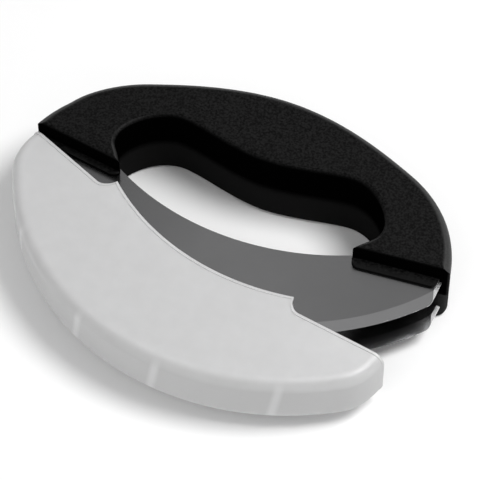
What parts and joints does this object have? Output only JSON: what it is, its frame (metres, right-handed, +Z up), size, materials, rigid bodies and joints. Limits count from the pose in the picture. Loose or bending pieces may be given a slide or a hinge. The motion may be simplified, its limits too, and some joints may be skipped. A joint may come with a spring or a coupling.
{
  "type": "mezzaluna",
  "caption": "Mincing knife with a moulded D-shaped handle, parallel crescent blades and a clouded slip-on blade cover that swings open, lying on its side.",
  "frame": {"origin": "on the handle's lower face, in the middle of the grip", "axes": "+X along the knife from one foot to the other, +Y from the cutting edges to the grip, +Z up through the handle's thickness as the knife lies on its side"},
  "size_m": [0.1839, 0.1382, 0.033],
  "materials": {
    "handle_plastic": "fine matte texture, black",
    "spacer_plastic": "plain moulded, black",
    "blade_steel": "fine satin grain, brighter on the ground bevel",
    "screw_steel": "plain",
    "cover_plastic": "clouded white, lets some light through"
  },
  "bodies": {
    "knife": {"upper_shell": "handle_plastic", "lower_shell": "handle_plastic", "upper_blade": "blade_steel", "lower_blade": "blade_steel", "left_spacer": "spacer_plastic", "right_spacer": "spacer_plastic", "foot_screw_1": "screw_steel", "foot_screw_2": "screw_steel", "foot_screw_3": "screw_steel", "foot_screw_4": "screw_steel"},
    "cover": {"blade_cover": "cover_plastic"}
  },
  "joints": [
    {"name": "cover_swing", "type": "hinge", "parent": "knife", "child": "cover", "pos_m": [-0.0895, -0.02891, 0.0165], "axis": [0, 0, 1], "range_deg": [-30, 14.6]}
  ]
}
